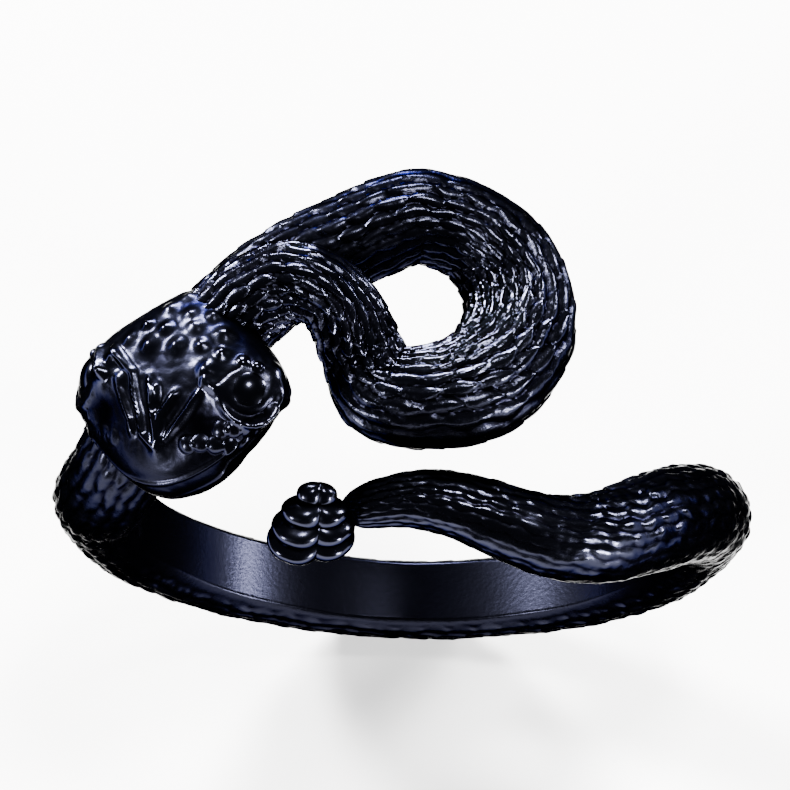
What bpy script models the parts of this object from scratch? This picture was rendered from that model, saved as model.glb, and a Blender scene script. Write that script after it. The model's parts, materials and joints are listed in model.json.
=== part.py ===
# An open finger ring in the form of a rattlesnake, as a jeweller would assemble it from castings.
#
# The finger goes through along Y, the face of the ring looks up along +Z, and the origin is the
# centre of the finger bore. The snake starts at its rattle, runs over the right side of the
# finger, round the back of it, up the left side, once round a coil on the face, and over itself
# along an S-shaped neck to the head. Nothing joins the head to the tail on the face, so the ring
# opens and closes by bending at the two ends of its plain back.

import math

import bmesh
import bpy
from mathutils import Matrix, Vector

# The pieces are modelled in millimetres, because Booleans on a thing this small are more exact
# that way, and the last step brings them to metres.
METRES = 0.001

# Driving dimensions
BORE_RADIUS = 9.5     # a US size 9 ring
SEAM_GAP = 0.1        # between two castings that a solder seam joins
BEND_GAP = 0.36       # room for the faces at a bend to turn in
SPINE_STEP = 0.85     # spacing of the body's cross-sections
SEAM_WASTE = 0.5      # what a stretch is made too long by before it is cut square
BODY_SIDES = 16       # sides of the body's cross-section, a multiple of four
BEND_ANGLE = 35       # degrees from the middle of the back to either bend

# The snake's centreline, as (degrees round the finger, millimetres along the finger, height above
# the bore, radius of the body). Degrees count from the right side, through the face at 90.
TAIL = [
    (98, -4.3, 1.00, 0.75),
    (90, -4.1, 1.10, 0.95),
    (81, -4.2, 1.15, 1.15),
    (71, -4.7, 1.20, 1.30),
    (61, -5.0, 1.30, 1.45),
    (50, -4.6, 1.35, 1.60),
    (36, -3.3, 1.35, 1.75),
    (18, -1.8, 1.35, 1.75),
    (0, -0.9, 1.30, 1.72),
]
BACK = [
    (-30, -0.5, 1.15, 1.60),
    (-60, -0.2, 1.00, 1.50),
    (-90, 0.0, 0.95, 1.45),
    (-120, 0.2, 1.00, 1.50),
    (-150, 0.2, 1.15, 1.60),
    (-180, -0.2, 1.30, 1.70),
]
SHOULDER = [
    (-199, -0.5, 1.40, 1.72),
    (-218, 1.1, 1.40, 1.75),
    (-234, 3.0, 1.40, 1.70),
    (-249, 4.6, 1.50, 1.68),
]
NECK = [
    (97, 1.1, 2.0, 1.42),
    (99, 2.1, 2.9, 1.36),
    (102, 2.8, 3.7, 1.34),
    (107, 3.05, 4.1, 1.38),
    (113, 2.5, 4.25, 1.50),
    (118, 1.6, 4.1, 1.60),
]

# The coil on the face, a single turn seen from above
COIL_CENTRE = (0.7, 2.9)   # millimetres
COIL_RADIUS = 3.4
COIL_START = 105           # degrees, and the turn runs clockwise
COIL_END = -115
COIL_STATIONS = 10
COIL_THIN = 1.66           # the body's radius at the ends of the turn
COIL_SWELL = 0.34          # and how much thicker it is on its right
COIL_LIFT = 1.6

# The head, from its back to the tip of the snout. It is rolled towards the side of the finger.
HEAD_BACK = (-6.6, 2.85, 12.15)
HEAD_FORWARD = Vector((-0.25, -0.96, -0.12))
HEAD_ROLL_FROM = Vector((-0.50, 0.0, 0.866))   # the way its top looks
HEAD_SIDES = 20
# (millimetres from the back, half width, height of the top, depth of the underside)
HEAD_SECTIONS = [
    (0.0, 0.80, 0.90, 0.85),
    (0.5, 1.40, 1.30, 1.15),
    (1.2, 2.35, 1.70, 1.40),
    (2.0, 3.35, 1.95, 1.50),
    (2.8, 4.00, 2.05, 1.55),
    (3.6, 4.25, 2.00, 1.55),
    (4.4, 4.00, 1.90, 1.45),
    (5.1, 3.50, 1.70, 1.35),
    (5.8, 2.85, 1.45, 1.20),
    (6.4, 2.10, 1.15, 1.05),
    (6.9, 1.35, 0.80, 0.80),
    (7.15, 0.70, 0.40, 0.45),
]
MOUTH_BACK = 1.75      # from the head's back to the corner of the mouth
MOUTH_HEIGHT = -0.62   # the upper lip, below the head's middle
MOUTH_GAP = 0.16
EYE_RADIUS = 0.85
EYE_PLACE = (3.6, 3.2, 0.8)   # forward, sideways and up

# The rattle, a stack of two-lobed segments that rises from the tail's end and leans back over it
RATTLE_BASE = (-3.15, -5.4, 10.35)
RATTLE_PITCH = 0.63
RATTLE_LEAN = 14       # degrees that the first segment leans along the finger
RATTLE_BEND = 12       # degrees more for each segment
RATTLE_TILT = 8        # degrees that the stack tilts towards the tail
RATTLE_TURN = 14       # degrees that the two lobes are turned round the stack's own axis
RATTLE_SIDES = 28
RATTLE_BULGE = [(-0.5, 0.78), (-0.25, 0.95), (0.0, 1.0), (0.25, 0.95)]   # (pitches, fullness)
RATTLE_DOME = [(0.45, 0.75), (0.62, 0.40)]
# (how far each lobe's centre is from the middle, radius of a lobe), from the base to the tip
RATTLE_SEGMENTS = [(0.66, 0.90), (0.62, 0.86), (0.50, 0.71), (0.30, 0.42)]


# Scene and collections

def clear_scene():
    for obj in list(bpy.data.objects):
        bpy.data.objects.remove(obj)
    for collection in list(bpy.data.collections):
        bpy.data.collections.remove(collection)


def new_collection(name):
    collection = bpy.data.collections.new(name)
    bpy.context.scene.collection.children.link(collection)
    return collection


def material(name, colour, roughness, metallic):
    made = bpy.data.materials.new(name)
    made.use_nodes = True
    shader = made.node_tree.nodes["Principled BSDF"]
    shader.inputs["Base Color"].default_value = (*colour, 1.0)
    shader.inputs["Roughness"].default_value = roughness
    shader.inputs["Metallic"].default_value = metallic
    return made


def object_from(bm, name, collection, surface=None):
    mesh = bpy.data.meshes.new(name)
    bm.to_mesh(mesh)
    bm.free()
    obj = bpy.data.objects.new(name, mesh)
    collection.objects.link(obj)
    if surface:
        mesh.materials.append(surface)
        mesh.shade_smooth()
    return obj


def hide_cutter(obj):
    obj.hide_render = True
    obj.display_type = "WIRE"
    return obj


def boolean(obj, other, operation):
    """Cuts obj with other, or keeps what they share, and keeps the result as obj's mesh."""
    modifier = obj.modifiers.new(operation.lower(), "BOOLEAN")
    modifier.operation = operation
    modifier.solver = "EXACT"
    modifier.object = other
    bpy.context.view_layer.update()
    graph = bpy.context.evaluated_depsgraph_get()
    cut = bpy.data.meshes.new_from_object(obj.evaluated_get(graph))
    obj.modifiers.clear()
    obj.data = cut


# The centreline

def on_finger(around, along, lift):
    """A point at this angle round the finger, this far along it and this high above the bore."""
    angle = math.radians(around)
    reach = BORE_RADIUS + lift
    return Vector((reach * math.cos(angle), along, reach * math.sin(angle)))


def coil_stations():
    """The coil's stations, on a circle seen from above that lies on the round of the finger."""
    stations = []
    for i in range(COIL_STATIONS):
        turn = math.radians(COIL_START + (COIL_END - COIL_START) * i / (COIL_STATIONS - 1))
        x = COIL_CENTRE[0] + COIL_RADIUS * math.cos(turn)
        y = COIL_CENTRE[1] + COIL_RADIUS * math.sin(turn)
        swell = max(0.0, math.cos(turn + math.radians(25)))
        reach = BORE_RADIUS + (COIL_LIFT + COIL_SWELL / 2 * swell)
        height = math.sqrt(reach ** 2 - (x) ** 2)
        stations.append((Vector((x, y, height)), (COIL_THIN + COIL_SWELL * swell)))
    return stations


def all_stations():
    """(name of the stretch, list of (point, radius)) from the rattle to the head."""
    placed = [
        [(on_finger(around, along, lift), radius) for around, along, lift, radius in stretch]
        for stretch in (TAIL, BACK, SHOULDER, NECK)
    ]
    tail, back, shoulder, neck = placed
    return tail + back + shoulder + coil_stations() + neck


def catmull_rom(p0, p1, p2, p3, t):
    return 0.5 * (
        2 * p1
        + (p2 - p0) * t
        + (2 * p0 - 5 * p1 + 4 * p2 - p3) * t * t
        + (3 * p1 - p0 - 3 * p2 + p3) * t * t * t
    )


def spine():
    """The centreline as evenly spaced (point, radius), a smooth curve through every station."""
    stations = all_stations()
    first, second = stations[0], stations[1]
    before, last = stations[-2], stations[-1]
    padded = [(2 * first[0] - second[0], first[1]), *stations, (2 * last[0] - before[0], last[1])]
    fine = []
    steps = 24
    for i in range(1, len(padded) - 2):
        four = padded[i - 1:i + 3]
        for step in range(steps):
            t = step / steps
            point = catmull_rom(*[p for p, _ in four], t)
            radius = four[1][1] + (four[2][1] - four[1][1]) * t
            fine.append((point, radius))
    fine.append(last)
    return fine


def lengths_along(points):
    """The distance from the first point to each point."""
    total = [0.0]
    for a, b in zip(points, points[1:]):
        total.append(total[-1] + (b - a).length)
    return total


class Snake:
    """The centreline, which gives a point and a radius at any distance from the rattle."""

    def __init__(self):
        fine = spine()
        self.points = [point for point, _ in fine]
        self.radii = [radius for _, radius in fine]
        self.distances = lengths_along(self.points)
        self.length = self.distances[-1]

    def at(self, distance):
        distance = min(max(distance, 0.0), self.length)
        i = 0
        while i < len(self.distances) - 2 and self.distances[i + 1] < distance:
            i += 1
        span = self.distances[i + 1] - self.distances[i]
        t = (distance - self.distances[i]) / span
        point = self.points[i].lerp(self.points[i + 1], t)
        return point, self.radii[i] + (self.radii[i + 1] - self.radii[i]) * t

    def nearest(self, place):
        """How far from the rattle the centreline passes closest to a point."""
        i = min(range(len(self.points)), key=lambda k: (self.points[k] - place).length)
        return self.distances[i]


# Pieces of the body

def body_piece(name, snake, start, end, collection, surface=None, grown=0.0):
    """A round stretch of the snake between two distances from the rattle, as a closed mesh."""
    count = max(3, round((end - start) / SPINE_STEP) + 1)
    curve = bpy.data.curves.new(name, "CURVE")
    curve.dimensions = "3D"
    curve.bevel_depth = 1.0
    curve.bevel_resolution = BODY_SIDES // 2 - 2
    curve.use_fill_caps = True
    spline = curve.splines.new("POLY")
    spline.points.add(count - 1)
    for i, target in enumerate(spline.points):
        point, radius = snake.at(start + (end - start) * i / (count - 1))
        target.co = (*point, 1.0)
        target.radius = radius + grown
    tube = bpy.data.objects.new(name + "_tube", curve)
    collection.objects.link(tube)
    bpy.context.view_layer.update()
    graph = bpy.context.evaluated_depsgraph_get()
    mesh = bpy.data.meshes.new_from_object(tube.evaluated_get(graph))
    bpy.data.objects.remove(tube)
    bm = bmesh.new()
    bm.from_mesh(mesh)
    bmesh.ops.remove_doubles(bm, verts=bm.verts, dist=0.0001)
    bmesh.ops.recalc_face_normals(bm, faces=bm.faces)
    return object_from(bm, name, collection, surface)


def end_block(name, snake, joint, side, collection):
    """A block that squares off a stretch at a joint, and lies after it (side 1) or before it."""
    distance, gap = joint
    place, radius = snake.at(distance)
    along = (snake.at(distance + 0.1)[0] - snake.at(distance - 0.1)[0]).normalized() * side
    bm = bmesh.new()
    bmesh.ops.create_cube(bm, size=1.0)
    size = Matrix.Diagonal((2 * radius + 0.4, 2 * radius + 0.4, 2 * SEAM_WASTE, 1.0))
    middle = Matrix.Translation((0.0, 0.0, SEAM_WASTE - gap / 2))
    turn = along.to_track_quat("Z", "Y").to_matrix().to_4x4()
    bmesh.ops.transform(bm, matrix=Matrix.Translation(place) @ turn @ middle @ size, verts=bm.verts)
    return hide_cutter(object_from(bm, name, collection))


def finger_cutter(collection):
    """The finger, which hollows the underside of every piece that lies on it."""
    bm = bmesh.new()
    turn = Matrix.Rotation(math.radians(90), 4, "X")
    bmesh.ops.create_cone(
        bm, cap_ends=True, segments=120, radius1=BORE_RADIUS, radius2=BORE_RADIUS, depth=40, matrix=turn
    )
    return hide_cutter(object_from(bm, "finger_cutter", collection))


def loft(bm, rings):
    """Joins each ring to the next one and closes both ends."""
    for ring, following in zip(rings, rings[1:]):
        for i in range(len(ring)):
            j = (i + 1) % len(ring)
            bm.faces.new((ring[i], ring[j], following[j], following[i]))
    bm.faces.new(rings[0])
    bm.faces.new(rings[-1])
    bmesh.ops.recalc_face_normals(bm, faces=bm.faces)


# The head

def head_frame():
    """The head's own axes: forward along X, to its left along Y and up along Z, from its back."""
    forward = HEAD_FORWARD.normalized()
    up = (HEAD_ROLL_FROM - forward * HEAD_ROLL_FROM.dot(forward)).normalized()
    left = up.cross(forward)
    axes = Matrix((forward, left, up)).transposed()
    return Matrix.Translation(HEAD_BACK) @ axes.to_4x4()


def head_section(bm, distance, half_width, top, under):
    """One cross-section, an oval whose top and underside have their own heights."""
    ring = bmesh.ops.create_circle(bm, segments=HEAD_SIDES, radius=1.0)["verts"]
    for vert in ring:
        side, height = vert.co.x, vert.co.y
        reach = top if height > 0 else under
        vert.co = Vector((distance, side * half_width, height * reach))
    return ring


def head_shell(name, frame, collection, surface=None, grown=0.0):
    """A loft through the head's sections, closed at both ends."""
    bm = bmesh.new()
    rings = []
    for number, (distance, *sizes) in enumerate(HEAD_SECTIONS):
        distance += {0: -grown, len(HEAD_SECTIONS) - 1: grown}.get(number, 0.0)
        rings.append(head_section(bm, distance, *[size + grown for size in sizes]))
    loft(bm, rings)
    bmesh.ops.transform(bm, matrix=frame, verts=bm.verts)
    return object_from(bm, name, collection, surface)


def head_block(name, frame, back, front, width, below, above, collection):
    """A box across the head, from back to front and between two heights in the head's axes."""
    bm = bmesh.new()
    bmesh.ops.create_cube(bm, size=1.0)
    size = Matrix.Diagonal((front - back, width, above - below, 1.0))
    middle = Matrix.Translation(((front + back) / 2, 0.0, (above + below) / 2))
    bmesh.ops.transform(bm, matrix=frame @ middle @ size, verts=bm.verts)
    return hide_cutter(object_from(bm, name, collection))


def eye(name, side, frame, collection, surface):
    """A ball stone, to its left with side 1 and to its right with side -1."""
    forward, sideways, up = EYE_PLACE
    place = frame @ Vector((forward, sideways * side, up))
    bm = bmesh.new()
    bmesh.ops.create_uvsphere(bm, u_segments=20, v_segments=12, radius=EYE_RADIUS)
    stone = object_from(bm, name, collection, surface)
    stone.location = place
    return stone


def eye_socket(name, stone, collection):
    bm = bmesh.new()
    bmesh.ops.create_uvsphere(bm, u_segments=20, v_segments=12, radius=EYE_RADIUS + SEAM_GAP)
    socket = hide_cutter(object_from(bm, name, collection))
    socket.location = stone.location
    return socket


# The rattle

def rattle_frame(level):
    """The stack's own axes this many segments above its base, on an arc that leans back."""
    start = math.radians(RATTLE_LEAN)
    bend = math.radians(RATTLE_BEND)
    lean = start + bend * level
    reach = RATTLE_PITCH / bend
    along = reach * (math.cos(start) - math.cos(lean))
    rise = reach * (math.sin(lean) - math.sin(start))
    across = rise * math.tan(math.radians(RATTLE_TILT))
    place = Matrix.Translation(Vector(RATTLE_BASE) + Vector((across, along, rise)))
    leaned = Matrix.Rotation(-lean, 4, "X") @ Matrix.Rotation(math.radians(RATTLE_TILT), 4, "Y")
    return place @ leaned @ Matrix.Rotation(math.radians(RATTLE_TURN), 4, "Z")


def rattle_section(bm, level, offset, radius):
    """The outline of two round lobes side by side, wide along its own X, at this level of the stack."""
    ring = bmesh.ops.create_circle(bm, segments=RATTLE_SIDES, radius=1.0)["verts"]
    frame = rattle_frame(level)
    for vert in ring:
        reach = offset * abs(vert.co.x) + math.sqrt(radius ** 2 - (offset * vert.co.y) ** 2)
        vert.co = frame @ Vector((vert.co.x * reach, vert.co.y * reach, 0.0))
    return ring


def rattle(collection, surface):
    """The stack as one casting, with a waist between each segment and the next."""
    bm = bmesh.new()
    rings = []
    for number, (offset, radius) in enumerate(RATTLE_SEGMENTS):
        for step, fullness in RATTLE_BULGE:
            rings.append(rattle_section(bm, number + step, offset * fullness, radius * fullness))
    offset, radius = RATTLE_SEGMENTS[-1]
    for step, fullness in RATTLE_DOME:
        level = len(RATTLE_SEGMENTS) - 1 + step
        rings.append(rattle_section(bm, level, offset * fullness, radius * fullness))
    loft(bm, rings)
    return object_from(bm, "rattle", collection, surface)


def to_metres(collections):
    """Everything above is in millimetres, and the finished model is in metres."""
    for collection in collections:
        for obj in collection.objects:
            obj.location *= METRES
            if obj.type == "MESH":
                obj.data.transform(Matrix.Scale(METRES, 4))


def bend(name, place, pieces, collection):
    """An empty on the axis that one side of the ring turns about as the back is bent."""
    empty = bpy.data.objects.new(name, None)
    empty.empty_display_size = 2 * METRES
    empty.location = place
    collection.objects.link(empty)
    for piece in pieces:
        piece.parent = empty
        piece.matrix_parent_inverse = Matrix.Translation(place).inverted()
    return empty


def build():
    clear_scene()
    ring = new_collection("Rattlesnake ring")
    cutters = new_collection("Cutters")
    metal = material("black_plated_metal", (0.02, 0.02, 0.03), 0.25, 1.0)
    stone = material("black_stone", (0.005, 0.005, 0.008), 0.08, 0.0)

    snake = Snake()
    finger = finger_cutter(cutters)
    # Each joint between two stretches is (distance from the rattle, gap)
    hip = (snake.nearest(on_finger(40, -3.7, 1.35)), SEAM_GAP)
    right_bend = (snake.nearest(on_finger(-90 + BEND_ANGLE, -0.2, 1.0)), BEND_GAP)
    left_bend = (snake.nearest(on_finger(-90 - BEND_ANGLE, 0.2, 1.0)), BEND_GAP)
    coil_start = (snake.nearest(coil_stations()[0][0]), SEAM_GAP)
    coil_end = (snake.nearest(coil_stations()[-1][0]), SEAM_GAP)
    stretches = [
        ("tail", None, hip),
        ("right_shoulder", hip, right_bend),
        ("shank_back", right_bend, left_bend),
        ("left_shoulder", left_bend, coil_start),
        ("coil", coil_start, coil_end),
        ("neck", coil_end, None),
    ]
    body = {}
    for name, start, end in stretches:
        first = start[0] - SEAM_WASTE if start else 0.0
        last = end[0] + SEAM_WASTE if end else snake.length
        body[name] = body_piece(name, snake, first, last, ring, metal)
        boolean(body[name], finger, "DIFFERENCE")
        if start:
            boolean(body[name], end_block(name + "_start", snake, start, -1, cutters), "DIFFERENCE")
        if end:
            boolean(body[name], end_block(name + "_end", snake, end, 1, cutters), "DIFFERENCE")
    beside_rattle = hide_cutter(body_piece("beside_rattle", snake, 0.0, 3, cutters, grown=SEAM_GAP))

    frame = head_frame()
    front, wide = 12, 16
    head_space = hide_cutter(head_shell("head_space", frame, cutters, grown=SEAM_GAP))
    boolean(body["neck"], head_space, "DIFFERENCE")

    head = head_shell("head", frame, ring, metal)
    mouth = head_block("mouth", frame, MOUTH_BACK, front, wide, -4, MOUTH_HEIGHT, cutters)
    boolean(head, mouth, "DIFFERENCE")
    jaw = head_shell("lower_jaw", frame, ring, metal)
    low = MOUTH_HEIGHT - MOUTH_GAP
    jaw_space = head_block("jaw_space", frame, MOUTH_BACK + MOUTH_GAP, front, wide, -4, low, cutters)
    boolean(jaw, jaw_space, "INTERSECT")
    eyes = []
    for name, side in (("left_eye", 1), ("right_eye", -1)):
        eyes.append(eye(name, side, frame, ring, stone))
        bpy.context.view_layer.update()
        boolean(head, eye_socket(name + "_socket", eyes[-1], cutters), "DIFFERENCE")
    rattle_stack = rattle(ring, metal)
    boolean(rattle_stack, beside_rattle, "DIFFERENCE")

    left = [body["left_shoulder"], body["coil"], body["neck"], head, jaw, *eyes]
    right = [body["right_shoulder"], body["tail"], rattle_stack]
    to_metres([ring, cutters])
    bend("left_bend", snake.at(left_bend[0])[0] * METRES, left, ring)
    bend("right_bend", snake.at(right_bend[0])[0] * METRES, right, ring)


build()
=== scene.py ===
import json
import math

import bpy
import numpy as np
from mathutils import Matrix, Vector, noise


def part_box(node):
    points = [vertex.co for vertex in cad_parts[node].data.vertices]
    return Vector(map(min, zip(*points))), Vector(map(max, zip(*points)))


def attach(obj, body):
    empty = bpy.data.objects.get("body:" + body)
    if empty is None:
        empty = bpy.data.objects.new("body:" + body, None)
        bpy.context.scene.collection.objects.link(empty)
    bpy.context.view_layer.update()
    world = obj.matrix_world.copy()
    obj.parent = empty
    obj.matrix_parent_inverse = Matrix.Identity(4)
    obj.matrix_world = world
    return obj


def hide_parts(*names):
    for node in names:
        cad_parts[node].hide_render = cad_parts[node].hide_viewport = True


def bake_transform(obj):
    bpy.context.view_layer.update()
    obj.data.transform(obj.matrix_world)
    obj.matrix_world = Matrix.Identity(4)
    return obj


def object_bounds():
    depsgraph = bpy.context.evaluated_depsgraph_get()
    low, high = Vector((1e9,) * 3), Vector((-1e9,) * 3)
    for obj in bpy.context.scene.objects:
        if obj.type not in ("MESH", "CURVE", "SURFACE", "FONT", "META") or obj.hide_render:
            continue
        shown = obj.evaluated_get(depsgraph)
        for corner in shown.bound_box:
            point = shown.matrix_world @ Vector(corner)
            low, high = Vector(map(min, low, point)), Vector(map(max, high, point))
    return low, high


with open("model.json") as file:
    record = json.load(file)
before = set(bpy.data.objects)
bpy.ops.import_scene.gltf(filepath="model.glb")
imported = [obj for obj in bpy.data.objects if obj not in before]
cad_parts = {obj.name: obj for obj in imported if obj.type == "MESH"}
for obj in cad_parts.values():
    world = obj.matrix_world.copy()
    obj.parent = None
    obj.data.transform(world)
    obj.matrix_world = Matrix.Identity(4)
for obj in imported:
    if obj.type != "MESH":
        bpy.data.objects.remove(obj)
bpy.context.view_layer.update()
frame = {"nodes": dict(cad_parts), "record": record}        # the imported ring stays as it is, the pieces below are dressed around it
print("frame loaded:", sorted(frame["nodes"]))

mm = 0.001
boreRadius = 9.5         # the finger, in mm, with its axis along Y


# Small helpers

def deselectAll():
    if bpy.context.mode != "OBJECT":
        bpy.ops.object.mode_set(mode="OBJECT")
    bpy.ops.object.select_all(action="DESELECT")


def makeActive(piece):
    deselectAll()
    piece.select_set(True)
    bpy.context.view_layer.objects.active = piece


def getPoints(piece):
    flat = np.empty(len(piece.data.vertices) * 3)
    piece.data.vertices.foreach_get("co", flat)
    return flat.reshape(-1, 3)


def setPoints(piece, points):
    piece.data.vertices.foreach_set("co", np.ascontiguousarray(points).ravel())
    piece.data.update()


def getNormals(piece):
    flat = np.empty(len(piece.data.vertices) * 3)
    piece.data.vertices.foreach_get("normal", flat)
    return flat.reshape(-1, 3)


def storeCrestAndPaintedLight(piece, values):
    # how high each point stands in the relief, 0 in a groove and 1 on a crest, for the material, whose
    # colour mixed from it is partly painted shade and painted highlight
    crestAndPaintedLight = piece.data.attributes.new("crestAndPaintedLight", "FLOAT", "POINT")
    crestAndPaintedLight.data.foreach_set("value", np.ascontiguousarray(np.clip(values, 0.0, 1.0)))


def smoothStep(values, low, high):
    t = np.clip((values - low) / (high - low), 0.0, 1.0)
    return t * t * (3.0 - 2.0 * t)


def lumps(points, size, seed):
    # random swelling between about -1 and 1, with lumps of this size
    shift = Vector((seed * 7.3, seed * 3.1, seed * 5.7))
    return np.array([noise.noise(Vector(p) / size + shift) for p in points])


def finishPiece(piece, name, body, surface, angle=60):
    piece.name = name
    piece.data.name = name
    piece.data.materials.clear()
    piece.data.materials.append(surface)
    makeActive(piece)
    bpy.ops.object.mode_set(mode="EDIT")
    bpy.ops.mesh.select_all(action="SELECT")
    bpy.ops.mesh.normals_make_consistent(inside=False)
    bpy.ops.object.mode_set(mode="OBJECT")
    bpy.ops.object.shade_smooth_by_angle(angle=math.radians(angle))
    if body:
        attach(piece, body)
    deselectAll()
    print("made", name, len(piece.data.polygons), "faces")
    return piece


# Materials

def toLinear(hexColour):
    values = [int(hexColour[i:i + 2], 16) / 255 for i in (1, 3, 5)]
    linear = [v / 12.92 if v <= 0.04045 else ((v + 0.055) / 1.055) ** 2.4 for v in values]
    return (*linear, 1.0)


def addNode(tree, kind, settings=None, inputs=None):
    node = tree.nodes.new(kind)
    for key, value in (settings or {}).items():
        setattr(node, key, value)
    for key, value in (inputs or {}).items():
        if isinstance(value, bpy.types.NodeSocket):
            tree.links.new(value, node.inputs[key])
        else:
            node.inputs[key].default_value = value
    return node


def newMaterial(name):
    made = bpy.data.materials.new(name)
    made.use_nodes = True
    tree = made.node_tree
    tree.nodes.clear()
    shader = addNode(tree, "ShaderNodeBsdfPrincipled")
    output = addNode(tree, "ShaderNodeOutputMaterial")
    tree.links.new(shader.outputs["BSDF"], output.inputs["Surface"])
    return made, tree, shader


plating = {
    "groovePlatingAndShade": "#07070d",        # the plating left in the grooves after polishing, made darker still as painted shade
    "crestAndPaintedLight": "#24252f",       # the blue cast of black plating on a polished crest, lighter there also as painted highlight
    "edge": "#020203",        # how dark the plating stays when it is seen edge on
    "grain": 0.14,            # mm, the skin of the casting under the plating
    "pits": 0.20,             # mm, four times the real size, so that they show
    "pitDepth": 0.35,         # against the grain's height
    "grainHeight": 0.026,     # mm
    "patches": 1.8,           # mm, the size of the more and less polished places
    "polished": 0.12,
    "dull": 0.28,
}


def blackPlatedCasting(name, grainShare=1.0):
    # Black rhodium over a lost-wax casting: nearly black metal with a blue cast, hard white glints
    # that the skin of the casting breaks up, glossier on the crests than in the grooves.
    p = plating
    made, tree, shader = newMaterial(name)
    place = addNode(tree, "ShaderNodeTexCoord").outputs["Object"]
    crestAndPaintedLight = addNode(tree, "ShaderNodeAttribute", {"attribute_name": "crestAndPaintedLight"}).outputs["Fac"]
    grain = addNode(tree, "ShaderNodeTexNoise", None, {
        "Vector": place, "Scale": 1.0 / (p["grain"] * mm), "Detail": 3.0, "Roughness": 0.55,
    }).outputs["Fac"]
    pits = addNode(tree, "ShaderNodeTexVoronoi", {"feature": "SMOOTH_F1"}, {
        "Vector": place, "Scale": 1.0 / (p["pits"] * mm), "Smoothness": 0.6,
    }).outputs["Distance"]
    patches = addNode(tree, "ShaderNodeTexNoise", None, {
        "Vector": place, "Scale": 1.0 / (p["patches"] * mm), "Detail": 2.0,
    }).outputs["Fac"]
    # base colour from groove to crest: the plating's real polish, with painted shade in the grooves and
    # painted highlight on the crests
    colour = addNode(tree, "ShaderNodeMix", {"data_type": "RGBA"}, {"Factor": crestAndPaintedLight})
    colour.inputs[6].default_value = toLinear(p["groovePlatingAndShade"])       # the two colours of an RGBA mix
    colour.inputs[7].default_value = toLinear(p["crestAndPaintedLight"])
    tree.links.new(colour.outputs[2], shader.inputs["Base Color"])
    worn = addNode(tree, "ShaderNodeMath", {"operation": "MULTIPLY"})
    tree.links.new(crestAndPaintedLight, worn.inputs[0])
    tree.links.new(patches, worn.inputs[1])
    rough = addNode(tree, "ShaderNodeMapRange", None, {
        "Value": worn.outputs["Value"], "From Min": 0.05, "From Max": 0.6,
        "To Min": p["dull"], "To Max": p["polished"],
    })
    tree.links.new(rough.outputs["Result"], shader.inputs["Roughness"])
    height = addNode(tree, "ShaderNodeMath", {"operation": "MULTIPLY_ADD"})
    tree.links.new(pits, height.inputs[0])
    height.inputs[1].default_value = p["pitDepth"]
    tree.links.new(grain, height.inputs[2])
    bump = addNode(tree, "ShaderNodeBump", None, {
        "Height": height.outputs["Value"], "Strength": grainShare,
        "Distance": p["grainHeight"] * mm,
    })
    tree.links.new(bump.outputs["Normal"], shader.inputs["Normal"])
    shader.inputs["Metallic"].default_value = 1.0
    shader.inputs["Specular Tint"].default_value = toLinear(p["edge"])
    return made


def polishedHematite():
    # Black hematite, polished: a dark stone with a metal's lustre and one or two small sharp glints
    made, tree, shader = newMaterial("polished_hematite")
    place = addNode(tree, "ShaderNodeTexCoord").outputs["Object"]
    cloud = addNode(tree, "ShaderNodeTexNoise", None, {"Vector": place, "Scale": 1.0 / (0.7 * mm)})
    colour = addNode(tree, "ShaderNodeMix", {"data_type": "RGBA"}, {"Factor": cloud.outputs["Fac"]})
    colour.inputs[6].default_value = toLinear("#15151b")
    colour.inputs[7].default_value = toLinear("#24252e")
    tree.links.new(colour.outputs[2], shader.inputs["Base Color"])
    shader.inputs["Metallic"].default_value = 1.0
    shader.inputs["Roughness"].default_value = 0.15
    shader.inputs["Specular Tint"].default_value = toLinear("#08090f")
    return made


castPlating = blackPlatedCasting("black_rhodium_plated_casting", 0.60)
rubbedPlating = blackPlatedCasting("black_rhodium_rubbed_casting", 0.20)
smoothPlating = blackPlatedCasting("black_rhodium_polished", 0.08)
hematite = polishedHematite()
print("materials made")


# The centreline, from the rattle to the head, the same one that the ring is cast on

# each station: degrees round the finger from +X towards +Z, mm along it, mm above the bore, radius
tailStations = [
    (98, -4.3, 1.00, 0.75), (90, -4.1, 1.10, 0.95), (81, -4.2, 1.15, 1.15), (71, -4.7, 1.20, 1.30),
    (61, -5.0, 1.30, 1.45), (50, -4.6, 1.35, 1.60), (36, -3.3, 1.35, 1.75), (18, -1.8, 1.35, 1.75),
    (0, -0.9, 1.30, 1.72),
]
backStations = [
    (-30, -0.5, 1.15, 1.60), (-60, -0.2, 1.00, 1.50), (-90, 0.0, 0.95, 1.45),
    (-120, 0.2, 1.00, 1.50), (-150, 0.2, 1.15, 1.60), (-180, -0.2, 1.30, 1.70),
]
shoulderStations = [
    (-199, -0.5, 1.40, 1.72), (-218, 1.1, 1.40, 1.75), (-234, 3.0, 1.40, 1.70),
    (-249, 4.6, 1.50, 1.68),
]
neckStations = [
    (97, 1.1, 2.0, 1.42), (99, 2.1, 2.9, 1.36), (102, 2.8, 3.7, 1.34), (107, 3.05, 4.1, 1.38),
    (113, 2.5, 4.25, 1.50), (118, 1.6, 4.1, 1.60),
]
coil = {"centre": (0.7, 2.9), "radius": 3.4, "from": 105, "to": -115, "stations": 10,
        "thin": 1.66, "swell": 0.34, "lift": 1.6}


def onFinger(around, along, lift):
    angle = math.radians(around)
    reach = boreRadius + lift
    return (reach * math.cos(angle), along, reach * math.sin(angle))


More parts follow.
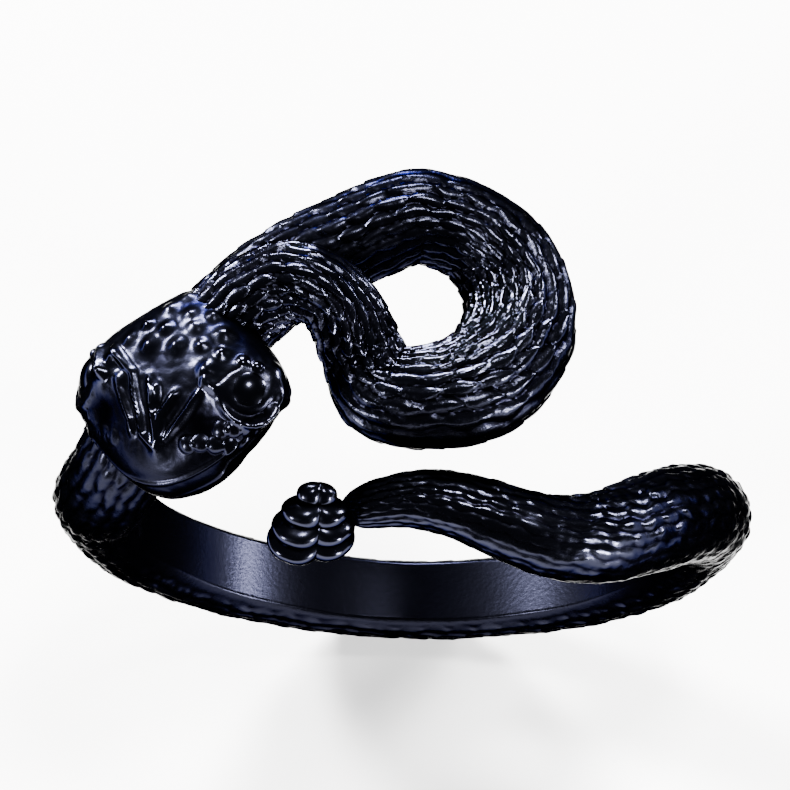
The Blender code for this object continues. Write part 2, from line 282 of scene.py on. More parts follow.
def coilStations():
    made = []
    for i in range(coil["stations"]):
        share = i / (coil["stations"] - 1)
        turn = math.radians(coil["from"] + (coil["to"] - coil["from"]) * share)
        x = coil["centre"][0] + coil["radius"] * math.cos(turn)
        y = coil["centre"][1] + coil["radius"] * math.sin(turn)
        swell = max(0.0, math.cos(turn + math.radians(25)))
        reach = boreRadius + coil["lift"] + coil["swell"] / 2 * swell
        made.append((x, y, math.sqrt(reach ** 2 - x ** 2), coil["thin"] + coil["swell"] * swell))
    return made


def centreline():
    # smooth curve through the stations: points, radii, distance from the rattle
    placed = [(*onFinger(a, y, lift), r) for a, y, lift, r in
              tailStations + backStations + shoulderStations]
    placed += coilStations()
    placed += [(*onFinger(a, y, lift), r) for a, y, lift, r in neckStations]
    s = np.array(placed)
    s = np.vstack([2 * s[0] - s[1], s, 2 * s[-1] - s[-2]])
    s[0, 3], s[-1, 3] = s[1, 3], s[-2, 3]
    steps = 24
    fine = []
    for i in range(1, len(s) - 2):
        for t in np.arange(steps) / steps:
            a, b, c, d = s[i - 1], s[i], s[i + 1], s[i + 2]
            row = 0.5 * (2 * b + (c - a) * t + (2 * a - 5 * b + 4 * c - d) * t * t
                         + (3 * b - a - 3 * c + d) * t ** 3)
            row[3] = b[3] + (c[3] - b[3]) * t
            fine.append(row)
    fine.append(s[-2])
    fine = np.array(fine)
    steps = np.linalg.norm(np.diff(fine[:, :3], axis=0), axis=1)
    return fine[:, :3], fine[:, 3], np.concatenate([[0.0], np.cumsum(steps)])


linePoints, lineRadii, lineLengths = centreline()
lineTotal = lineLengths[-1]


def lineAt(distance):
    point = np.stack([np.interp(distance, lineLengths, linePoints[:, k]) for k in range(3)], axis=-1)
    return point, np.interp(distance, lineLengths, lineRadii)


def nearestOnLine(place):
    return lineLengths[np.argmin(np.linalg.norm(linePoints - np.array(place), axis=1))]


backMiddle = nearestOnLine(onFinger(-90, 0.0, 0.95))
coilStart = nearestOnLine(coilStations()[0][:3])
coilEnd = nearestOnLine(coilStations()[-1][:3])
print("centreline", round(lineTotal, 1), "mm")


# The scaly skin: one tile with two staggered scales, repeated round and along, then wrapped

scales = {
    "around": 10,             # tiles round the body, two rows of scales in each
    "length": 1.02,           # mm from one scale to the next in its row, on the bands and coil
    "neckLength": 0.80,
    "acrossCuts": 12,         # faces across a tile
    "alongCuts": 14,
    "halfLength": 0.68,       # of a scale, in tile lengths, so that it lies over the next one
    "halfWidth": 0.60,        # in row widths
    "edge": 0.26,             # row widths over which its rim drops
    "crown": 0.35,            # how much lower its sides are than its middle
    "middle": 0.70,           # how high it stands halfway along
    "tip": 0.33,              # how much higher its free tip stands
    "keel": 0.252,            # a ridge down its middle
    "keelWidth": 0.13,
    "tailShorter": 0.28,      # share by which the scales next to the rattle are shorter
    "tailRun": 12.0,          # mm over which they reach full length
    # mm from groove to crest at the rattle, the tail, the right shoulder, the back, the left
    # shoulder, the coil's first half, its second half and the neck
    "relief": [0.20, 0.09, 0.10, 0.07, 0.09, 0.13, 0.20, 0.17],
    # how much of the plating's polish is left, at the same places; lower values also darken the colour
    # there as painted shade
    "polishAndPaintedShade": [0.90, 0.90, 0.60, 0.40, 0.40, 0.50, 1.00, 0.95],
    "waves": [(0.030, 2.1, 2), (0.020, 5.3, 3)],    # no row runs straight: angle, along, round
    "dense": math.radians(60),   # from the body's top to the coil's inner side, where rows crowd
    "crowding": 0.38,
    "uneven": 0.55,           # how much the relief varies from place to place
    "wornUnder": 0.70,        # share of the relief lost under the tail
    "wornOuter": 0.50,        # on the coil's outer side
    "wornInner": 0.35,        # and on its inner side
    "ground": 0.62,           # the height in a tile that lies on the body's own radius
    "swell": 0.045,           # mm, unevenness of the wax under the scales
    "fineSwell": 0.020,
}


def scaleHeight(x, y):
    # height over the unit tile, the highest of the scales that reach this point
    k = scales
    corners = [(cx, cy) for cx in (0, 1) for cy in (-1, 0, 1, 2)]
    middles = [(0.5, cy) for cy in (-0.5, 0.5, 1.5)]
    best = np.zeros_like(x)
    for cx, cy in corners + middles:
        across = (x - cx) * 2.0
        t = (y - cy) / k["halfLength"]           # -1 at the free tip, which points to the rattle
        width = k["halfWidth"] * np.clip(1.0 - np.abs(t) ** 2.2, 0.0, 1.0) ** 0.75
        edge = smoothStep(width - np.abs(across), 0.0, k["edge"])
        crown = 1.0 - k["crown"] * (across / k["halfWidth"]) ** 2
        lean = k["middle"] - k["tip"] * t
        keel = k["keel"] * np.exp(-(across / k["keelWidth"]) ** 2) * np.clip(1.0 - t * t, 0.0, 1.0)
        best = np.maximum(best, edge * (crown * lean + keel))
    return best


def makeTile():
    deselectAll()
    bpy.ops.mesh.primitive_grid_add(
        x_subdivisions=scales["acrossCuts"], y_subdivisions=scales["alongCuts"],
        size=1.0, location=(0.5, 0.5, 0.0),
    )
    tile = bpy.context.object
    bpy.ops.object.transform_apply(location=True)
    points = getPoints(tile)
    points[:, 2] = scaleHeight(points[:, 0], points[:, 1])
    setPoints(tile, points)
    tile.name = "scaleTile"
    return tile


def repeatTile(tile, around, along):
    # a flat sheet of scales, each copy joined to its neighbours
    sheet = tile.copy()
    sheet.data = tile.data.copy()
    bpy.context.scene.collection.objects.link(sheet)
    makeActive(sheet)
    for label, count, step in (("round", around, (1, 0, 0)), ("along", along, (0, 1, 0))):
        array = sheet.modifiers.new(label, "ARRAY")
        array.count = count
        array.use_relative_offset = False
        array.use_constant_offset = True
        array.constant_offset_displace = step
        array.use_merge_vertices = True
        array.merge_threshold = 0.001
        bpy.ops.object.modifier_apply(modifier=label)
    return sheet


def startRows():
    # the distance from the rattle at which each row of tiles starts
    k = scales
    starts = [-0.6]
    while starts[-1] < lineTotal:
        s = np.array(starts[-1])
        neckShare = float(smoothStep(s, coilEnd - 1.5, coilEnd + 1.5))
        tailShare = 1.0 - float(smoothStep(s, 0.0, k["tailRun"]))
        step = k["length"] + (k["neckLength"] - k["length"]) * neckShare
        starts.append(starts[-1] + step * (1.0 - k["tailShorter"] * tailShare))
    return np.array(starts[:-1] + [lineTotal + 0.9])


rowStarts = startRows()


def rowNear(distance):
    return int(np.argmin(np.abs(rowStarts - distance)))


def alongBody(s, setting):
    # a setting that changes from the rattle to the head
    coilMiddle = (coilStart + coilEnd) / 2
    hip = nearestOnLine(onFinger(40, -3.7, 1.35))
    shoulder = nearestOnLine(onFinger(-199, -0.5, 1.4))
    places = [0.0, 3.0, hip, backMiddle, shoulder, coilStart, coilMiddle, coilEnd + 1.0]
    return np.interp(s, places, scales[setting])


def axesAlong(s):
    # the body's middle and radius at each distance, outward from the finger and to the side
    onLine = np.clip(s, 0.0, lineTotal)
    point, radius = lineAt(onLine)
    ahead, _ = lineAt(np.minimum(onLine + 0.3, lineTotal))
    behind, _ = lineAt(np.maximum(onLine - 0.3, 0.0))
    forward = ahead - behind
    forward /= np.linalg.norm(forward, axis=1)[:, None]
    point = point + forward * (s - onLine)[:, None]        # both ends run on a little, into the next piece
    closing = np.clip(1 - ((0.45 - s) / 1.1) ** 2 * (s < 0.45), 0.02, 1.0)
    radius = radius * np.sqrt(closing)                     # the tail rounds off under the rattle
    outward = point * np.array([1.0, 0.0, 1.0])
    outward -= forward * np.sum(outward * forward, axis=1)[:, None]
    outward /= np.linalg.norm(outward, axis=1)[:, None]
    return point, radius, outward, np.cross(forward, outward)


def coilShare(s):
    # 1 along the coil, 0 away from it
    starting = smoothStep(s, coilStart - 3.0, coilStart + 3.0)
    return starting * (1 - smoothStep(s, coilEnd - 1.0, coilEnd + 1.5))


def turnRows(across, s, inCoil):
    # the angle round the body, with broad rows on the coil's outer side and fine ones on its inner side
    k = scales
    turn = across / k["around"] * 2 * math.pi
    turn = turn + sum(angle * np.sin(along * s + round * turn) for angle, along, round in k["waves"])
    return turn - k["crowding"] * inCoil * (np.sin(turn - k["dense"]) + math.sin(k["dense"]))


def wrapSheet(sheet, firstRow):
    # rolls the flat sheet round the centreline and presses it against the finger
    k = scales
    flat = getPoints(sheet)
    tileHeight = flat[:, 2]
    s = np.interp(flat[:, 1] + firstRow, np.arange(len(rowStarts)), rowStarts)
    point, radius, outward, side = axesAlong(s)
    inCoil = coilShare(s)
    turn = turnRows(flat[:, 0], s, inCoil)
    towardsInner = np.cos(turn - k["dense"])
    towardsOuter = -np.sin(turn)
    direction = outward * np.cos(turn)[:, None] + side * np.sin(turn)[:, None]
    smooth = point + direction * radius[:, None]
    reach = np.hypot(smooth[:, 0], smooth[:, 2])
    onSkin = smoothStep(reach, boreRadius + 0.05, boreRadius + 0.75)    # no scales against the finger

    rowWidth = 1.0 - k["crowding"] * inCoil * towardsInner
    underTail = (1 - smoothStep(s, 16.0, 24.0)) * smoothStep(np.sin(turn), 0.15, 0.75)
    strength = (0.55 + 0.45 * rowWidth) * np.clip(radius / 1.6, 0.55, 1.15)
    strength *= onSkin * (1.0 - k["wornUnder"] * underTail)
    strength *= 1.0 + k["uneven"] * lumps(smooth, 1.5, 1)
    strength *= 1.0 - k["wornOuter"] * inCoil * smoothStep(towardsOuter, 0.45, 0.95)
    strength *= 1.0 - k["wornInner"] * inCoil * smoothStep(towardsInner, 0.5, 1.0)
    height = alongBody(s, "relief") * strength * (tileHeight - k["ground"])
    height += k["swell"] * lumps(smooth, 0.85, 2) * onSkin
    height += k["fineSwell"] * lumps(smooth, 0.30, 3) * onSkin
    placed = point + direction * (radius + height)[:, None]
    reach = np.hypot(placed[:, 0], placed[:, 2])
    push = np.maximum(boreRadius / reach, 1.0)             # nothing stands into the finger
    placed[:, 0] *= push
    placed[:, 2] *= push
    setPoints(sheet, placed)

    # painted highlight lightens the coil's second half across its grooves on the inner side, and painted
    # shade darkens its outer side
    crestAndPaintedLight = smoothStep(tileHeight * onSkin, 0.05, 0.80)
    paintedHighlightInner = inCoil * smoothStep(s, coilEnd - 9.0, coilEnd - 5.0) * smoothStep(towardsInner, 0.55, 0.95)
    paintedShadeOuter = inCoil * smoothStep(towardsOuter, 0.0, 0.8)
    crestAndPaintedLight = (crestAndPaintedLight + (0.95 - crestAndPaintedLight) * 0.8 * paintedHighlightInner) * (1.0 - 0.5 * paintedShadeOuter)
    storeCrestAndPaintedLight(sheet, crestAndPaintedLight * alongBody(s, "polishAndPaintedShade") + 0.2 * (1 - onSkin))


def closeEnds(piece):
    # joins the long seam, then closes each open end with a fan of faces
    makeActive(piece)
    bpy.ops.object.mode_set(mode="EDIT")
    bpy.ops.mesh.select_all(action="SELECT")
    bpy.ops.mesh.remove_doubles(threshold=0.002)
    bpy.ops.mesh.select_all(action="DESELECT")
    bpy.ops.mesh.select_mode(type="EDGE")
    bpy.ops.mesh.select_non_manifold()
    bpy.ops.mesh.fill_holes(sides=0)
    bpy.ops.mesh.select_mode(type="FACE")
    bpy.ops.mesh.select_all(action="DESELECT")
    bpy.ops.object.mode_set(mode="OBJECT")
    for face in piece.data.polygons:
        face.select = len(face.vertices) > 4
    bpy.ops.object.mode_set(mode="EDIT")
    bpy.ops.mesh.poke()
    bpy.ops.object.mode_set(mode="OBJECT")


def makeSkin(name, firstRow, lastRow, body, surface):
    skin = repeatTile(tile, scales["around"], lastRow - firstRow)
    wrapSheet(skin, firstRow)
    closeEnds(skin)
    setPoints(skin, getPoints(skin) * mm)
    return finishPiece(skin, name, body, surface)


tile = makeTile()
backRow, startRow, endRow, lastRow = (
    rowNear(backMiddle), rowNear(coilStart), rowNear(coilEnd), len(rowStarts) - 1
)
tailSkin = makeSkin("tail_skin", 0, backRow, None, rubbedPlating)
shoulderSkin = makeSkin("shoulder_skin", backRow, startRow, None, rubbedPlating)
coilSkin = makeSkin("coil_skin", startRow, endRow, "head_arm", castPlating)
neckSkin = makeSkin("neck_skin", endRow, lastRow, "head_arm", castPlating)
bpy.data.objects.remove(tile)
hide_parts("tail", "right_shoulder", "shank_back")
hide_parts("left_shoulder")
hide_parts("coil")
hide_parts("neck")


def bendAt(piece, joint):
    # finds the nearest place on the centreline to the hinge and the way along it there, then bakes the
    # piece's place into its mesh
    pivot = np.array([j["pos_m"] for j in frame["record"]["behaviour"]["joints"] if j["name"] == joint][0])
    s = nearestOnLine(pivot / mm)
    forward = lineAt(s + 0.3)[0] - lineAt(s - 0.3)[0]
    forward /= np.linalg.norm(forward)
    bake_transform(piece)


bendAt(tailSkin, "right_bend")
bendAt(shoulderSkin, "left_bend")
print("skins made")


# The head's own axes: forward, to its left and up, from the middle of its back

headBack = np.array((-6.6, 2.85, 12.15))
headForward = np.array((-0.25, -0.96, -0.12))
headForward /= np.linalg.norm(headForward)
headUp = np.array((-0.5, 0.0, 0.866))
headUp -= headForward * headUp.dot(headForward)
headUp /= np.linalg.norm(headUp)
headLeft = np.cross(headUp, headForward)

headShape = {
    # mm forward of the back, half width, height over the middle, depth under it
    "sections": [
        (0.0, 0.80, 0.90, 0.85), (0.5, 1.40, 1.30, 1.15), (1.2, 2.35, 1.70, 1.40), (2.0, 3.35, 1.95, 1.50),
        (2.8, 4.00, 2.05, 1.55), (3.6, 4.25, 2.00, 1.55), (4.4, 4.00, 1.90, 1.45), (5.1, 3.50, 1.70, 1.35),
        (5.8, 2.85, 1.45, 1.20), (6.4, 2.10, 1.15, 1.05), (6.9, 1.35, 0.80, 0.80), (7.15, 0.70, 0.40, 0.45),
    ],
    "roundness": 2.2,
    "segments": 420,
    "rings": 210,
    "mouthBack": 1.75,
    "lip": -0.54,
    "jawTop": -0.70,
}


def headToRing(local):
    return headBack + local[:, :1] * headForward + local[:, 1:2] * headLeft + local[:, 2:3] * headUp


def ringToHead(place):
    away = np.array(place) - headBack
    return np.array((away.dot(headForward), away.dot(headLeft), away.dot(headUp)))


def sectionAt(s):
    # the head's half width, height and depth, smoothed between its sections
    rows = np.array(headShape["sections"])
    fine = np.linspace(rows[0, 0], rows[-1, 0], 200)
    out = []
    for k in (1, 2, 3):
        values = np.interp(fine, rows[:, 0], rows[:, k])
        smoothed = np.convolve(np.pad(values, 7, mode="edge"), np.ones(15) / 15, mode="valid")
        out.append(np.interp(s, fine, smoothed))
    return out


def skullHeight(s, e):
    width, top, _ = sectionAt(np.array(s))
    power = headShape["roundness"]
    return float(top * max(0.0, 1 - abs(e / width) ** power) ** (1 / power))


def onSkull(s, e):
    return np.array((s, e, skullHeight(s, e)))


def loftHead(name, start, end):
    # a ball stretched over the head's sections, its poles at the back and the snout
    h = headShape
    deselectAll()
    bpy.ops.mesh.primitive_uv_sphere_add(segments=h["segments"], ring_count=h["rings"], radius=1.0)
    piece = bpy.context.object
    piece.name = name
    ball = getPoints(piece)
    share = np.arccos(np.clip(-ball[:, 2], -1, 1)) / math.pi
    eased = 0.5 - 0.5 * np.cos(np.clip(share, 0, 1) * math.pi)
    mixed = 0.55 * share + 0.45 * eased
    s = start + (end - start) * mixed
    cap = 0.35                                    # mm over which each end rounds off
    closing = np.sqrt(np.clip(1 - np.clip(1 - (s - start) / cap, 0, 1) ** 2, 0, 1))
    closing *= np.sqrt(np.clip(1 - np.clip(1 - (end - s) / cap, 0, 1) ** 2, 0, 1))
    width, top, under = sectionAt(s)
    around = np.arctan2(ball[:, 0], ball[:, 1])
    power = 2.0 / h["roundness"]
    e = width * np.sign(np.sin(around)) * np.abs(np.sin(around)) ** power
    z = np.sign(np.cos(around)) * np.abs(np.cos(around)) ** power
    z = np.where(z > 0, z * top, z * under)
    onPole = np.hypot(ball[:, 0], ball[:, 1]) < 1e-6
    e, z = np.where(onPole, 0, e * closing), np.where(onPole, 0, z * closing)
    return piece, np.stack([s, e, z], axis=1)


def bumpAt(points, centre, size, height):
    away = np.linalg.norm(points - np.array(centre), axis=1)
    return height * np.exp(-(away / size) ** 2)


def pearlAt(points, centre, size, height):
    # a bead that stands out of the surface, with a crisp foot
    away = np.linalg.norm(points - np.array(centre), axis=1)
    return height * np.clip(1 - (away / size) ** 2, 0, 1) ** 0.7


def ridgeAlong(points, path, width, height):
    # a thin raised line over the skull through (forward, sideways) points, tapered at both ends
    path = np.array(path, float)
    best = np.full(len(points), 9.0)
    taper = np.zeros(len(points))
    lengths = np.linalg.norm(np.diff(path, axis=0), axis=1)
    run = 0.0
    for a, b, length in zip(path, path[1:], lengths):
        t = np.clip((points[:, :2] - a) @ (b - a) / length ** 2, 0, 1)
        away = np.linalg.norm(points[:, :2] - (a + t[:, None] * (b - a)), axis=1)
        where = (run + t * length) / lengths.sum()
        closer = away < best
        best = np.where(closer, away, best)
        taper = np.where(closer, 0.35 + 0.65 * np.sin(np.clip(where, 0, 1) * math.pi) ** 0.5, taper)
        run += length
    return height * taper * np.exp(-(best / width) ** 2) * (points[:, 2] > -0.3)


face = {
    "eye": 0.85,             # radius of the eye, mm
    "eyeFlat": 0.24,         # how much lower the dome is than a ball
    "nose": 0.30,            # how far left of the middle the snout's ridges meet
    # ridges on the snout: (forward, sideways from the nose's line) points
    "ridges": [
        [(3.72, -0.45), (4.35, -0.25), (4.98, -0.05), (5.9, 0.15)],
        [(3.95, -0.12), (4.25, -0.04), (4.60, 0.02)],
        [(4.15, 0.72), (4.55, 0.50), (4.98, 0.22), (5.82, 0.28)],
        [(4.05, 1.62), (4.65, 1.28), (5.22, 0.90), (5.75, 0.45)],
        [(3.60, -1.20), (4.20, -1.00), (4.98, -0.62), (5.64, -0.45), (6.0, 0.05)],
        [(4.14, -1.68), (4.65, -1.35), (5.16, -1.00), (5.64, -0.92)],
        [(2.70, -2.40), (3.15, -1.85), (3.60, -1.25)],
        [(2.76, -3.15), (3.25, -2.75), (3.72, -2.40)],
    ],
    # blocks in two rows along the upper lip: forward, sideways, up
    "lipScales": [
        (5.75, 1.55, 1.20), (5.64, 2.02, 1.15), (5.60, 2.50, 0.92), (5.52, 2.92, 0.60),
        (5.10, 2.72, 1.15), (5.00, 3.10, 0.98), (4.80, 3.45, 0.72), (4.50, 3.80, 0.52), (4.05, 4.05, 0.35),
        (5.15, 3.35, 0.05), (4.60, 3.80, -0.05), (4.05, 4.10, -0.12), (3.50, 4.25, -0.15),
    ],
    "lipSize": 0.33,
    "lipHeight": (0.13, 0.05),      # on the left and on the right, whose lip is the smoother one
    # soft swellings on each side: forward, sideways, spread, height
    "swellings": [(3.55, 2.25, 0.75, 0.22), (4.9, 2.2, 0.55, -0.10)],   # the brow, and a hollow before it
    # single beads round each eye: forward, sideways, size, height
    "eyeBeads": [(3.72, 2.12, 0.26, 0.09), (2.64, 3.00, 0.24, 0.12), (2.76, 3.45, 0.20, 0.11)],
    "cheekHeight": (0.17, 0.05),
    "lid": 0.22,                    # heights round each eye, mm
    "hood": 0.10,
    "groove": 0.08,
    "rightLids": 0.45,              # the right eye's are this much flatter
    "ridgeWidth": 0.14,
    "ridgeHeight": 0.25,
}

pearls = {
    "rows": 6,
    "first": 0.50,           # mm forward of the head's back
    "rowStep": 0.66,
    "across": 0.96,          # mm from one to the next in a row
    "size": 0.30,
    "height": 0.16,
}


def pearlPlaces():
    # beads over the back of the skull, in staggered rows that are a little uneven
    p = pearls
    made = []
    for row in range(p["rows"]):
        s = p["first"] + row * p["rowStep"]
        width = float(sectionAt(np.array(s))[0])
        for i in range(-4, 5):
            e = (i + 0.5 * (row % 2)) * p["across"] + 0.12 * math.sin(row * 2.4 + i * 1.7)
            onSnout = s > 2.6 and abs(e - 0.3) < 1.3
            if abs(e - 0.25) < width * 0.62 and not onSnout:
                size = p["size"] + 0.05 * math.sin(i + row * 3.0)
                made.append((s + 0.10 * math.sin(i * 2.1 + row), e, size))
    return made


def sculptHead(points, eyes):
    # raised and sunk detail, in mm out of the plain skull
    f = face
    raised = np.zeros(len(points))
    for s, e, size in pearlPlaces():
        lower = min(1.0, 0.4 + s / 2)                               # they sink in towards the neck
        raised += bumpAt(points, onSkull(s, e), size * 0.95, pearls["height"] * lower)
    for ridge in f["ridges"]:
        path = [(s, e + f["nose"]) for s, e in ridge]
        raised += ridgeAlong(points, path, f["ridgeWidth"], f["ridgeHeight"])
    raised += bumpAt(points, onSkull(6.1, 0.45), 0.38, 0.12)        # where the ridges meet
    for side, lipHeight, cheekHeight in zip((1, -1), f["lipHeight"], f["cheekHeight"]):
        for s, e, spread, height in f["swellings"]:
            raised += bumpAt(points, onSkull(s, side * e), spread, height)
        for s, e, size, height in f["eyeBeads"]:
            raised += pearlAt(points, onSkull(s, side * e), size, height)
        raised += bumpAt(points, (2.58, side * 3.77, 0.41), 0.42, cheekHeight)
        for s, e, z in f["lipScales"]:
            raised += pearlAt(points, (s, side * e, z), f["lipSize"], lipHeight)
        raised += bumpAt(points, (6.45, side * 1.15, 0.45), 0.16, -0.13)    # nostril
    for eye in eyes:
        away = np.linalg.norm(points - eye, axis=1)
        lower = smoothStep((points - eye) @ np.array((0.75, 0.0, -0.65)), -0.4, 0.7)
        lid = np.exp(-((away - f["eye"] * 1.30) / 0.12) ** 2) * lower
        hood = np.exp(-((away - f["eye"] * 1.10) / 0.22) ** 2) * (1 - lower)
        groove = np.exp(-((away - f["eye"] * 1.06) / 0.10) ** 2) * lower
        shown = 1.0 if eye[1] > 0 else f["rightLids"]
        raised += shown * (lid * f["lid"] + hood * f["hood"] - groove * f["groove"])
    lipEdge = np.exp(-((points[:, 2] - (headShape["lip"] + 0.16)) / 0.10) ** 2)
    raised += bumpAt(points, (4.7, -3.4, 0.0), 1.2, 0.12)                   # the right cheek is fuller
    raised += 0.07 * lipEdge * smoothStep(points[:, 0], 2.2, 3.2)           # rim of the upper lip
    rim = np.exp(-((points[:, 2] - 0.52) / 0.07) ** 2) * smoothStep(points[:, 0], 4.9, 5.8)
    raised += 0.06 * rim                                                    # fine line over the snout
    rough = 1 - 0.8 * smoothStep(points[:, 0], 5.9, 6.5)                   # the snout is polished smooth
    raised += rough * (0.020 * lumps(points, 0.60, 4) + 0.012 * lumps(points, 0.24, 5))
    return raised


def makeHead(eyes):
    h = headShape
    piece, local = loftHead("head_shell", -0.1, 7.3)
    setPoints(piece, local)
    bpy.context.view_layer.update()
    normals = getNormals(piece)
    raised = sculptHead(local, eyes)
    local = local + normals * raised[:, None]
    # the cheek draws in under the left eye, down to the lip
    under = smoothStep(0.75 - local[:, 2], 0.0, 1.1) * smoothStep(local[:, 0], 3.0, 4.4)
    under *= 1 - smoothStep(local[:, 0], 5.7, 6.6)
    local[:, 1] -= 0.55 * under * smoothStep(local[:, 1], 1.5, 3.0)
    # the underside is cut away in front of the jaw's hinge, where the lower jaw fits
    depth = sectionAt(local[:, 0])[2] + 0.3
    opening = smoothStep(local[:, 0], h["mouthBack"] - 0.25, h["mouthBack"] + 0.05)
    floor = -depth + (h["lip"] + depth) * opening
    local[:, 2] = np.maximum(local[:, 2], floor)
    setPoints(piece, headToRing(local) * mm)
    # the colour is lighter on raised detail, as polish and painted highlight, and darker between it as
    # painted shade
    storeCrestAndPaintedLight(piece, 0.20 + raised * 4.2)
    return finishPiece(piece, "head_shell", "head_arm", rubbedPlating, 50)


def makeJaw():
    h = headShape
    piece, local = loftHead("jaw_shell", h["mouthBack"] + 0.12, 7.22)
    local[:, 1] *= 0.84 + 0.16 * smoothStep(local[:, 0], 5.2, 6.8)
    setPoints(piece, local)
    bpy.context.view_layer.update()
    normals = getNormals(piece)
    raised = 0.02 * lumps(local, 0.6, 6)
    for side in (1, -1):
        for k in range(6):                       # chin and lip scales under the mouth
            s = 6.4 - k * 0.62
            width = float(sectionAt(np.array(s))[0])
            raised += pearlAt(local, (s, side * width * 0.86, -0.92), 0.32, 0.10)
    raised += bumpAt(local, (4.6, 0.0, -1.5), 1.2, -0.06)                   # hollow between the jawbones
    local = local + normals * raised[:, None]
    local[:, 2] = np.minimum(local[:, 2], h["jawTop"])
    setPoints(piece, headToRing(local) * mm)
    # the colour is lighter on raised scales, as polish and painted highlight, and darker between them as
    # painted shade
    storeCrestAndPaintedLight(piece, 0.25 + raised * 3.5)
    return finishPiece(piece, "jaw_shell", "head_arm", rubbedPlating, 50)


def makeEye(name, centre, outward):
    # a low cabochon with a faint step round it, where the stone meets its setting
    deselectAll()
    bpy.ops.mesh.primitive_uv_sphere_add(segments=72, ring_count=48, radius=face["eye"])
    piece = bpy.context.object
    points = getPoints(piece)
    away = points @ outward / face["eye"]
    girdle = np.exp(-((away - 0.30) / 0.06) ** 2)
    points *= (1 + 0.035 * girdle)[:, None]
    points -= outward * (away * face["eye"] * face["eyeFlat"])[:, None]
    setPoints(piece, (points + centre) * mm)
    storeCrestAndPaintedLight(piece, np.full(len(points), 0.8))
    return finishPiece(piece, name, "head_arm", hematite)


def middleOf(node):
    low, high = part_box(node)
    return (np.array(low) + np.array(high)) / 2 / mm


eyeCentres = {side: middleOf(side + "_eye") for side in ("left", "right")}
headShell = makeHead([ringToHead(place) for place in eyeCentres.values()])
jawShell = makeJaw()
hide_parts("head")
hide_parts("lower_jaw")
for side, sign in (("left", 1), ("right", -1)):
    lookOut = headLeft * sign * 0.75 + headUp * 0.6 + headForward * 0.2
    eye = makeEye(side + "_eye_stone", eyeCentres[side], lookOut / np.linalg.norm(lookOut))
    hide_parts(side + "_eye")
print("head made")


# The rattle: two-lobed beads, stacked

rattle = {
    "base": (-3.15, -5.4, 10.35),
    "pitch": 0.63,
    "lean": 14,              # degrees that the first bead leans along the finger
    "bend": 12,              # degrees more for each bead
    "tilt": 8,
    "turn": 14,
    "beads": [(0.66, 0.90), (0.62, 0.86), (0.50, 0.71), (0.30, 0.42)],   # lobe offset, lobe radius
    "waist": 0.82,           # the least depth between the lobes, squared, against a lobe's
    "tall": 0.80,            # a bead's half height against the pitch, so that they overlap
}


def beadFrame(level):
    # the stack stands on an arc that leans back over the tail
    r = rattle
    start, bend = math.radians(r["lean"]), math.radians(r["bend"])
    lean, tilt = start + bend * level, math.radians(r["tilt"])
    reach = r["pitch"] / bend
    rise = reach * (math.sin(lean) - math.sin(start))
    along = reach * (math.cos(start) - math.cos(lean))
    place = Matrix.Translation(Vector(r["base"]) + Vector((rise * math.tan(tilt), along, rise)))
    turned = Matrix.Rotation(-lean, 4, "X") @ Matrix.Rotation(tilt, 4, "Y")
    return place @ turned @ Matrix.Rotation(math.radians(r["turn"]), 4, "Z")


def makeBead():
    # one bead's ball, which shapeBead then draws out into two lobes with a waist between them
    deselectAll()
    bpy.ops.mesh.primitive_uv_sphere_add(segments=96, ring_count=40, radius=1.0)
    return bpy.context.object


def shapeBead(bead, index):
    r = rattle
    offset, lobe = r["beads"][index]
    points = getPoints(bead)
    around = np.arctan2(points[:, 1], points[:, 0])
    flat = np.hypot(points[:, 0], points[:, 1])
    waist = np.clip(lobe ** 2 - (offset * np.sin(around)) ** 2, r["waist"] * lobe ** 2, None)
    reach = offset * np.abs(np.cos(around)) + np.sqrt(waist)
    tall = min(r["pitch"] * r["tall"], lobe * 1.05)
    height = np.sign(points[:, 2]) * np.abs(points[:, 2]) ** 0.9 * tall
    wide = reach * flat ** 0.8
    local = np.stack([wide * np.cos(around), wide * np.sin(around), height, np.ones(len(points))], axis=1)
    placed = (local @ np.array(beadFrame(index)).T)[:, :3]
    setPoints(bead, placed * mm)
    # darker towards the top and bottom of each bead, where it meets the next, as painted shade between the
    # beads
    storeCrestAndPaintedLight(bead, 0.35 + 0.65 * flat)


firstBead = makeBead()
for index in range(len(rattle["beads"])):
    bead = firstBead.copy()
    bead.data = firstBead.data.copy()
    bpy.context.scene.collection.objects.link(bead)
    shapeBead(bead, index)
    bead = finishPiece(bead, f"rattle_bead_{index + 1}", "tail_arm", smoothPlating)
    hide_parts("rattle")
bpy.data.objects.remove(firstBead)
print("rattle made")


# Floor, lights and camera

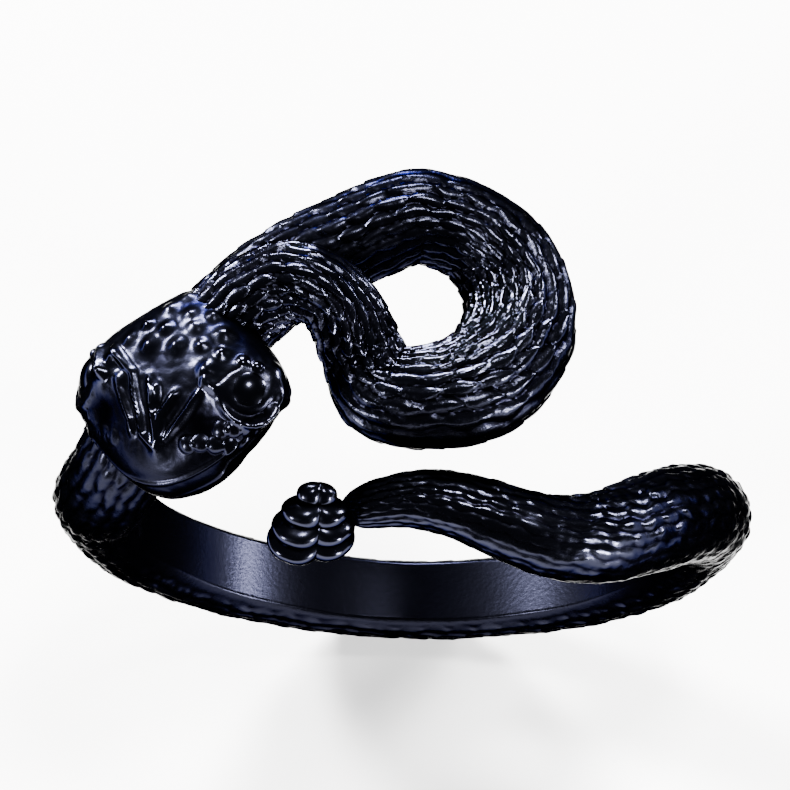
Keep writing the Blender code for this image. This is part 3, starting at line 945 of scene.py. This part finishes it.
def makeFloor():
    deselectAll()
    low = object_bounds()[0][2]
    bpy.ops.mesh.primitive_grid_add(x_subdivisions=8, y_subdivisions=8, size=3.0, location=(0, 0, low))
    floor = bpy.context.object
    bpy.ops.object.transform_apply(location=True)
    floor.name = "floor"
    made, tree, shader = newMaterial("matt_white_paper")   # plain uncoated paper, no shine
    shader.inputs["Base Color"].default_value = toLinear("#fbfaf9")
    shader.inputs["Roughness"].default_value = 0.9
    floor.data.materials.append(made)


studio = {
    # name, place, size, power in watts, colour; places in mm from the ring's middle
    "lamps": [
        ("overhead", (90, 80, 500), (90, 90), 6.2, "#ffffff"),
        ("back", (-40, 420, 120), (150, 50), 24.0, "#ffffff"),
        ("backLeft", (-330, 260, 150), (100, 60), 20.0, "#ffffff"),
        ("frontLeft", (-330, -250, 130), (70, 60), 4.0, "#ffffff"),
        ("frontRight", (330, -240, 60), (70, 40), 7.0, "#ffffff"),
        ("right", (380, 200, 110), (80, 50), 6.0, "#ffffff"),
    ],
    "sky": "#eceeff",
    "skyStrength": 0.16,
}


def makeLamps():
    for name, place, size, power, colour in studio["lamps"]:
        data = bpy.data.lights.new(name, "AREA")
        data.shape = "RECTANGLE"
        data.size, data.size_y = size[0] * mm, size[1] * mm
        data.energy = power
        data.color = toLinear(colour)[:3]
        lamp = bpy.data.objects.new(name, data)
        bpy.context.scene.collection.objects.link(lamp)
        lamp.location = Vector(place) * mm
        lamp.rotation_euler = (-lamp.location).to_track_quat("-Z", "Y").to_euler()
    world = bpy.data.worlds.new("studio")
    world.use_nodes = True
    sky = world.node_tree.nodes["Background"]
    sky.inputs["Color"].default_value = toLinear(studio["sky"])
    sky.inputs["Strength"].default_value = studio["skyStrength"]
    bpy.context.scene.world = world


camera = {"elevation": 68, "distance": 240, "aim": (-0.25, 3.52, 1.42), "lens": 302}


def makeCamera():
    data = bpy.data.cameras.new("camera")
    data.lens = camera["lens"]
    data.clip_start = 0.01
    lens = bpy.data.objects.new("camera", data)
    bpy.context.scene.collection.objects.link(lens)
    rise = math.radians(camera["elevation"])
    towards = Vector((0.0, -math.cos(rise), math.sin(rise)))
    lens.location = (Vector(camera["aim"]) + towards * camera["distance"]) * mm
    lens.rotation_euler = (-towards).to_track_quat("-Z", "Y").to_euler()
    bpy.context.scene.camera = lens


makeFloor()
makeLamps()
makeCamera()
print("studio made")
